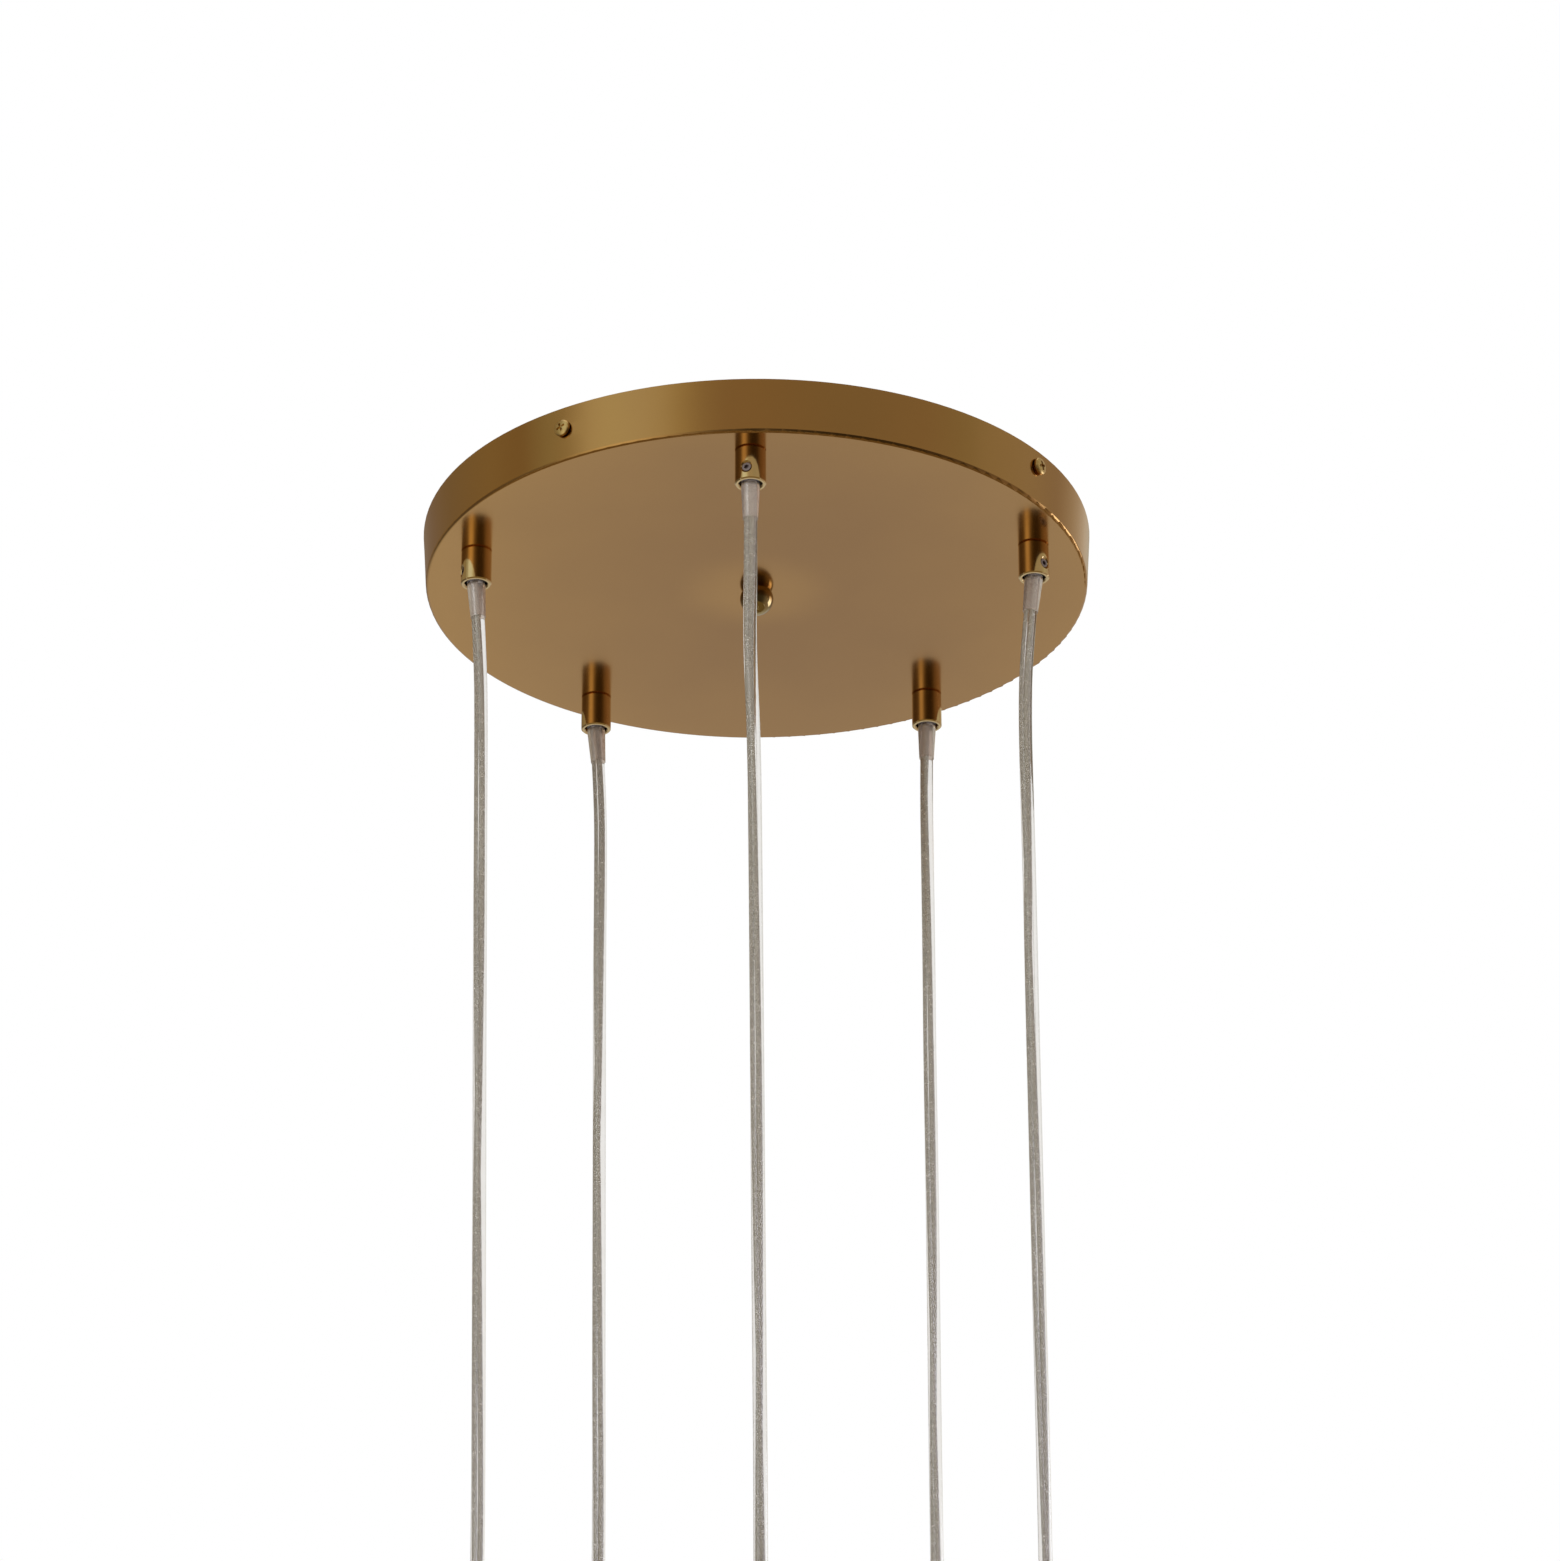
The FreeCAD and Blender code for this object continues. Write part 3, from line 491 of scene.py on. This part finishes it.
def milky_pvc():
    """PVC of the cores' insulation: translucent, milky and faintly warm, dull on its skin."""
    streak = 3 * MM
    streak_stretch = 10
    material, tree, shader = new_finish("milky PVC", {
        "IOR": 1.53, "Transmission Weight": 0.75, "Roughness": 0.15})
    parts = add(tree, "ShaderNodeSeparateXYZ", inputs={0: place(tree)}).outputs
    drawn = add(tree, "ShaderNodeCombineXYZ", inputs={
        "X": parts["X"], "Y": parts["Y"], "Z": maths(tree, "MULTIPLY", parts["Z"], 1 / streak_stretch)})
    streaks = speckle(tree, drawn.outputs[0], streak)
    tree.links.new(tint(tree, streaks, "#E9DFD7", "#FCF8F4"), shader.inputs["Base Color"])
    return material


def sleeve_pvc():
    """Moulded clear PVC of the sleeves: clear with flow marks and a slightly dull skin,
    and painted dark brown where it enters the grip, as painted shade of the grip's mouth."""
    flow_mark = 5 * MM
    painted_shade_foot = exit_z - 3.0 * MM
    painted_shade_head = exit_z + 0.5 * MM
    material, tree, shader = new_finish("moulded clear PVC", {
        "IOR": 1.53, "Transmission Weight": 0.82})
    marks = speckle(tree, place(tree), flow_mark, 1.0)
    # Painted shade: the colour turns dark brown from 3 mm below the grip's mouth up into it
    painted_shade = add(tree, "ShaderNodeMapRange", {"interpolation_type": "SMOOTHSTEP"}, {
        "Value": add(tree, "ShaderNodeSeparateXYZ", inputs={0: place(tree)}).outputs["Z"],
        "From Min": painted_shade_foot, "From Max": painted_shade_head}).outputs["Result"]
    clear = tint(tree, marks, "#E6D8CF", "#F0E6DF")
    shaded_colour = add(tree, "ShaderNodeMix", {"data_type": "RGBA"}, {"Factor": painted_shade})
    tree.links.new(clear, shaded_colour.inputs[6])
    # Dark brown of the painted shade inside the grip's mouth
    shaded_colour.inputs[7].default_value = linear("#4A382F")
    tree.links.new(shaded_colour.outputs[2], shader.inputs["Base Color"])
    tree.links.new(between(tree, marks, 0.08, 0.2), shader.inputs["Roughness"])
    relief(tree, shader, marks, 0.2 * MM)
    return material


def laid_round(tree, curve, count, offset, lay, start=0.0):
    """Copies of an upright curve, laid round it as a helix from a start in turns."""
    copies = add(tree, "GeometryNodeDuplicateElements", {"domain": "SPLINE"},
                 {"Geometry": curve, "Amount": count})
    along = add(tree, "GeometryNodeSplineParameter").outputs["Length"]
    turns = maths(tree, "ADD", maths(tree, "DIVIDE", along, lay),
                  maths(tree, "DIVIDE", copies.outputs["Duplicate Index"], count))
    angle = maths(tree, "MULTIPLY", maths(tree, "ADD", turns, start), 2 * math.pi)
    shift = add(tree, "ShaderNodeCombineXYZ", inputs={
        "X": maths(tree, "MULTIPLY", maths(tree, "COSINE", angle), offset),
        "Y": maths(tree, "MULTIPLY", maths(tree, "SINE", angle), offset)})
    return add(tree, "GeometryNodeSetPosition",
               inputs={"Geometry": copies.outputs[0], "Offset": shift.outputs[0]}).outputs[0]


def round_rod(tree, curve, radius, sides):
    """Closed round rod along a curve."""
    ring = add(tree, "GeometryNodeCurvePrimitiveCircle", inputs={"Resolution": sides, "Radius": radius})
    return add(tree, "GeometryNodeCurveToMesh", inputs={
        "Curve": curve, "Profile Curve": ring.outputs[0], "Fill Caps": True}).outputs[0]


def even_points(tree, route, step):
    """The route as a curve with points at an even step."""
    curve = add(tree, "GeometryNodeMeshToCurve", inputs={"Mesh": route})
    return add(tree, "GeometryNodeResampleCurve", {"mode": "LENGTH"}, {
        "Curve": curve.outputs[0], "Length": step}).outputs[0]


def jacket_tree():
    """Round jacket along a route."""
    tree, given = new_tree("Cord Jacket", {"Radius": cord_d / 2, "Step": cord_step, "Sides": cord_sides})
    curve = even_points(tree, given["Geometry"], given["Step"])
    return end_tree(tree, round_rod(tree, curve, given["Radius"], given["Sides"]), given["Material"])


def laid_cores(tree, given):
    """Centre lines of two cores slowly laid round each other, a little off the cord's middle."""
    route = even_points(tree, given["Geometry"], given["Step"])
    pair = laid_round(tree, route, 1, given["Pair Offset"], given["Pair Lay"], pair_turn)
    return laid_round(tree, pair, 2, given["Core Offset"], given["Core Lay"], given["Core Start"])


core_sizes = {"Pair Offset": pair_offset, "Pair Lay": pair_lay, "Core Offset": core_offset,
              "Core Lay": core_lay, "Core Start": 0.0}


def cores_tree():
    """The two cores' wires: each core is a rope of fine wires round a straight one."""
    tree, given = new_tree("Twisted Cores", {
        **core_sizes, "Wires": wires_in_core, "Wire Offset": wire_offset, "Wire Lay": wire_lay,
        "Wire Radius": wire_r, "Wire Sides": wire_sides, "Step": wire_step})
    middles = laid_cores(tree, given)
    wires = laid_round(tree, middles, given["Wires"], given["Wire Offset"], given["Wire Lay"])
    both = add(tree, "GeometryNodeJoinGeometry")
    tree.links.new(wires, both.inputs[0])
    tree.links.new(middles, both.inputs[0])
    rods = round_rod(tree, both.outputs[0], given["Wire Radius"], given["Wire Sides"])
    return end_tree(tree, rods, given["Material"])


def insulation_tree():
    """The two cores' insulation."""
    tree, given = new_tree("Core Insulation", {
        **core_sizes, "Radius": core_r, "Sides": core_sides, "Step": cord_step})
    rods = round_rod(tree, laid_cores(tree, given), given["Radius"], given["Sides"])
    return end_tree(tree, rods, given["Material"])


def route_mesh(name, points):
    """Line mesh of the smooth curve that the control points give."""
    curve = bpy.data.curves.new(name, "CURVE")
    curve.dimensions = "3D"
    curve.resolution_u = 24
    spline = curve.splines.new("NURBS")
    spline.points.add(len(points) - 1)
    for spot, point in zip(spline.points, points):
        spot.co = (*point, 1.0)
    spline.order_u = 3
    spline.use_endpoint_u = True
    holder = bpy.data.objects.new(name, curve)
    bpy.context.scene.collection.objects.link(holder)
    line = bpy.data.meshes.new_from_object(holder.evaluated_get(bpy.context.evaluated_depsgraph_get()))
    bpy.data.objects.remove(holder)
    return line


def grip_place(n):
    """Where the axis of grip n crosses the XY plane."""
    angle = math.radians(-90 - (n - 1) * 360 / len(cord_routes))
    return grip_circle_r * math.cos(angle), grip_circle_r * math.sin(angle)


jacket_pvc = clear_pvc()
jackets = jacket_tree()
cores = cores_tree()
insulation = insulation_tree()
cover_pvc = milky_pvc()
for n, (length, offsets) in zip(CORDS, cord_routes):
    x, y = grip_place(n)
    points = [(x + dx * MM, y + dy * MM, exit_z - down * MM) for dx, dy, down in offsets]
    line = route_mesh("cord_route_%d" % n, points)
    jacket = grown("cord_jacket_%d" % n, line, jackets, Material=jacket_pvc)
    start = {"Core Start": core_turns[n - 1]}
    wires = grown("cord_wires_%d" % n, line, cores, Material=tin, **start)
    covers = grown("cord_core_covers_%d" % n, line, insulation, Material=cover_pvc, **start)
    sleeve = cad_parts["cord_sleeve_%d" % n]
    sleeve.visible_glossy = False
    for piece, slot in ((jacket, "clear_pvc"), (covers, "clear_pvc"), (wires, "tinned_copper")):
        piece.data.shade_smooth()
        piece.visible_glossy = False
        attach(piece, "pendant_%d" % n)
        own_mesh(piece)
    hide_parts("cord_%d" % n)
finish_nodes(jacket_pvc, "cord_tails")
finish_nodes(sleeve_pvc(), *["cord_sleeve_%d" % n for n in CORDS])


# ------------------------------------------------------------ lampholders
# A turned brass barrel grips each cord's lower end and carries a spun brass cup, with a
# moulded phenolic insert inside that holds a pressed brass screw shell and contact.

def black_phenolic():
    """Moulded phenolic: black-brown with a dull gloss and a fine mineral grain."""
    filler_grain = 0.5 * MM
    material, tree, shader = new_finish("moulded phenolic", {"IOR": 1.6})
    grain = speckle(tree, place(tree), filler_grain)
    tree.links.new(tint(tree, grain, "#16130F", "#241F1A"), shader.inputs["Base Color"])
    tree.links.new(between(tree, grain, 0.28, 0.4), shader.inputs["Roughness"])
    relief(tree, shader, grain, 0.01 * MM)
    return material


def contact_brass():
    """Pressed brass contact sheet, left bare: pale yellow metal with rolling marks."""
    rolling_mark = 0.3 * MM
    material, tree, shader = new_finish("pressed contact brass", {"Metallic": 1.0})
    marks = speckle(tree, place(tree), rolling_mark)
    tree.links.new(tint(tree, marks, "#C7A35E", "#DDBB78"), shader.inputs["Base Color"])
    tree.links.new(between(tree, marks, 0.22, 0.35), shader.inputs["Roughness"])
    return material


phenolic = black_phenolic()
pressed = contact_brass()
for n in CORDS:
    low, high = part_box("holder_cup_%d" % n)
    axis = ((low.x + high.x) / 2, (low.y + high.y) / 2, 0)
    # Each cup carries the same painted highlights, paler away from its axis and in a ring round it
    cup_brass = satin_brass("satin brass cup %d" % n, axis, axis, 40 * MM, 8 * MM)
    finish_nodes(cup_brass, "holder_cup_%d" % n)
    finish_nodes(bright_brass, "holder_grip_%d" % n)
    finish_nodes(phenolic, "socket_insert_%d" % n)
    finish_nodes(pressed, "socket_contacts_%d" % n)


# ------------------------------------------------------------ bulbs
# Opal glass globes blown in a mould and cemented into rolled, nickel-plated screw caps,
# which turn in the lampholders' shells.

def opal_glass():
    """Opal glass: milky white through its wall, with a glossy, barely rippled face."""
    ripple = 20 * MM
    material, tree, shader = new_finish("opal glass", {
        "IOR": 1.5, "Roughness": 0.12, "Subsurface Weight": 0.5, "Subsurface Scale": 3 * MM,
        "Subsurface Radius": (1.0, 0.95, 0.9)})
    where = place(tree)
    milk = speckle(tree, where, ripple, 1.0)
    tree.links.new(tint(tree, milk, "#EDEAE4", "#F6F4EF"), shader.inputs["Base Color"])
    relief(tree, shader, milk, 0.05 * MM)
    return material


opal = opal_glass()
for n in CORDS:
    finish_nodes(opal, "bulb_globe_%d" % n)
    finish_nodes(nickel, "bulb_base_%d" % n)


# ------------------------------------------------------------ studio
# A pale floor well below the lamps, a plain white surround, and soft lamps.  Cards round
# the set are seen only by polished metal, as a maker's photographer shades brass.

def card(name, mesh_points, faces):
    """Glowing card that only shows in reflections; returns its node tree and light."""
    mesh = bpy.data.meshes.new(name)
    mesh.from_pydata(mesh_points, [], faces)
    material = bpy.data.materials.new(name)
    material.use_nodes = True
    tree = material.node_tree
    tree.nodes.clear()
    light = add(tree, "ShaderNodeEmission")
    add(tree, "ShaderNodeOutputMaterial", inputs={"Surface": light.outputs[0]})
    mesh.materials.append(material)
    piece = bpy.data.objects.new(name, mesh)
    bpy.context.scene.collection.objects.link(piece)
    piece.visible_camera = False
    piece.visible_diffuse = False
    piece.visible_transmission = False
    piece.visible_volume_scatter = False
    piece.visible_shadow = False
    return tree, light


def round_card(name, distance, azimuths, elevations, shades):
    """Card bent round the set, between two azimuths from -Y towards +X and two elevations,
    whose glow is graded between shades given as (azimuth, linear colour)."""
    degrees_a_step = 5
    steps = round(abs(azimuths[1] - azimuths[0]) / degrees_a_step)
    points = []
    for k in range(steps + 1):
        a = math.radians(azimuths[0] + (azimuths[1] - azimuths[0]) * k / steps)
        for elevation in elevations:
            e = math.radians(elevation)
            points.append((distance * math.sin(a), -distance * math.cos(a), distance * math.tan(e)))
    tree, light = card(name, points, [(2 * k, 2 * k + 1, 2 * k + 3, 2 * k + 2) for k in range(steps)])
    parts = add(tree, "ShaderNodeSeparateXYZ", inputs={0: place(tree)}).outputs
    round_way = maths(tree, "ARCTAN2", parts["X"], maths(tree, "MULTIPLY", parts["Y"], -1.0))
    share = maths(tree, "ADD", maths(tree, "DIVIDE", round_way, 2 * math.pi), 0.5)
    ramp = add(tree, "ShaderNodeValToRGB", inputs={"Fac": share})
    stops = ramp.color_ramp.elements
    for azimuth, shade in shades:
        stop = stops.new(azimuth / 360 + 0.5)
        stop.color = (*shade, 1.0)
    stops.remove(stops[0])
    stops.remove(stops[-1])
    tree.links.new(ramp.outputs["Color"], light.inputs["Color"])


# Above the canopy's level: a soft window to the left of the camera in a dim warm room
round_card("upper_card", 6.0, (-180, 180), (2, 62), (
    (-179, (0.25, 0.19, 0.13)), (-148, (0.23, 0.18, 0.13)), (-128, (0.24, 0.20, 0.13)),
    (-100, (0.30, 0.26, 0.17)), (-84, (0.28, 0.23, 0.15)), (-73, (0.36, 0.37, 0.29)),
    (-65, (0.41, 0.40, 0.32)), (-56, (0.64, 0.69, 0.67)), (-48, (0.68, 0.76, 0.73)),
    (-38, (0.66, 0.72, 0.72)), (-30, (0.64, 0.68, 0.62)), (-24, (0.55, 0.55, 0.42)),
    (-17, (0.44, 0.41, 0.31)), (-9, (0.38, 0.33, 0.25)), (3, (0.38, 0.33, 0.24)),
    (30, (0.35, 0.32, 0.25)), (60, (0.37, 0.33, 0.26)), (76, (0.39, 0.38, 0.29)),
    (84, (0.44, 0.43, 0.36)), (106, (0.44, 0.42, 0.36)), (125, (0.37, 0.32, 0.25)),
    (140, (0.47, 0.42, 0.32)), (158, (0.62, 0.57, 0.46)), (179, (0.42, 0.39, 0.31))))

# Below it: the window's foot, deep shade in front, and the pale room behind
round_card("lower_card", 1.8, (-180, 180), (-42, 2), (
    (-179, (0.555, 0.575, 0.61)), (-150, (0.45, 0.46, 0.48)), (-130, (0.14, 0.13, 0.11)),
    (-100, (0.13, 0.11, 0.09)), (-84, (0.17, 0.15, 0.12)), (-70, (0.24, 0.22, 0.17)),
    (-60, (0.55, 0.54, 0.45)), (-50, (0.85, 0.85, 0.74)), (-40, (0.88, 0.88, 0.78)),
    (-30, (0.66, 0.65, 0.56)), (-21, (0.36, 0.34, 0.28)), (-12, (0.18, 0.16, 0.12)),
    (2, (0.08, 0.07, 0.05)), (18, (0.055, 0.045, 0.03)), (38, (0.06, 0.05, 0.035)),
    (52, (0.10, 0.08, 0.06)), (66, (0.20, 0.17, 0.13)), (80, (0.29, 0.24, 0.20)),
    (98, (0.34, 0.28, 0.24)), (118, (0.37, 0.31, 0.27)), (140, (0.42, 0.40, 0.38)),
    (155, (0.53, 0.54, 0.57)), (179, (0.555, 0.575, 0.61))))


def flat_card(name, points, glow, strength=1.0):
    """Flat card of one colour."""
    tree, light = card(name, points, [(0, 1, 2, 3)])
    light.inputs["Color"].default_value = linear(glow)
    light.inputs["Strength"].default_value = strength


# A bright card at the right for the highlight on the ball, and a dull one under the set
side_reach = 1.65
side_front, side_back = math.radians(97), math.radians(127)
side_foot, side_head = -0.55, 0.12
flat_card("side_card", [(side_reach * math.sin(a), -side_reach * math.cos(a), z)
                        for a, z in ((side_front, side_foot), (side_back, side_foot),
                                     (side_back, side_head), (side_front, side_head))],
          "#E9EEFF", 3.0)


def level_square(half, z):
    """Corners of a level square round the origin's axis."""
    return [(-half, -half, z), (half, -half, z), (half, half, z), (-half, half, z)]


flat_card("nadir_card", level_square(1.75, -1.66), "#80704F")

floor_z = -2.6
floor_half = 14.0
floor_mesh = bpy.data.meshes.new("studio_floor")
floor_mesh.from_pydata(level_square(floor_half, floor_z), [], [(0, 1, 2, 3)])
floor = bpy.data.objects.new("studio_floor", floor_mesh)
bpy.context.scene.collection.objects.link(floor)


def floor_paint():
    """Matt floor paint: pale warm grey, worn slightly uneven in wide patches."""
    worn_patch = 600 * MM
    material, tree, shader = new_finish("matt floor paint", {"Roughness": 0.9})
    patches = speckle(tree, place(tree), worn_patch)
    tree.links.new(tint(tree, patches, "#DAD9D6", "#E2E1DE"), shader.inputs["Base Color"])
    return material


floor_mesh.materials.append(floor_paint())

world = bpy.data.worlds.new("studio")
world.use_nodes = True
bpy.context.scene.world = world
sky = world.node_tree
sky.nodes.clear()
rays = add(sky, "ShaderNodeLightPath").outputs
seen = maths(sky, "MAXIMUM", maths(sky, "MAXIMUM", rays["Is Camera Ray"], rays["Is Glossy Ray"]),
             rays["Is Transmission Ray"])
level = between(sky, seen, 0.75, 1.0)
glow = add(sky, "ShaderNodeBackground", inputs={"Color": linear("#FFFFFF"), "Strength": level})
add(sky, "ShaderNodeOutputWorld", inputs={"Surface": glow.outputs[0]})


lamp_aim = Vector((0, 0, -0.2))


def soft_lamp(name, position, size, power):
    """Square soft lamp that faces the upper part of the cords."""
    light = bpy.data.lights.new(name, "AREA")
    light.size = size
    light.energy = power
    lamp = bpy.data.objects.new(name, light)
    bpy.context.scene.collection.objects.link(lamp)
    lamp.location = position
    lamp.visible_glossy = False
    lamp.rotation_mode = "QUATERNION"
    lamp.rotation_quaternion = (Vector(position) - lamp_aim).to_track_quat("Z", "Y")


soft_lamp("key_lamp", (-2.2, -2.4, 0.9), 1.2, 45)
soft_lamp("fill_lamp", (2.6, -1.8, 0.6), 1.6, 22)


# ------------------------------------------------------------ camera
# Looks up at the canopy from below and in front, from about three metres away.

camera_position = Vector((0.05746, -2.86089, -1.52583))
yaw = math.radians(0.9402)
pitch = math.radians(26.1187)
roll = math.radians(-0.1621)
focal_px = 7000.0
photo_w = 1560
sensor_w = 36.0

ahead = Vector((-math.sin(yaw) * math.cos(pitch), math.cos(yaw) * math.cos(pitch), math.sin(pitch)))
level_right = Vector((math.cos(yaw), math.sin(yaw), 0))
level_up = level_right.cross(ahead)
right = level_right * math.cos(roll) + level_up * math.sin(roll)
up = level_up * math.cos(roll) - level_right * math.sin(roll)
view = bpy.data.cameras.new("camera")
view.sensor_fit = "HORIZONTAL"
view.sensor_width = sensor_w
view.lens = focal_px * sensor_w / photo_w
view.clip_end = 100.0
camera = bpy.data.objects.new("camera", view)
bpy.context.scene.collection.objects.link(camera)
camera.matrix_world = (Matrix.Translation(camera_position)
                       @ Matrix((right, up, -ahead)).transposed().to_4x4())
bpy.context.scene.camera = camera
bpy.context.scene.view_settings.view_transform = "Standard"
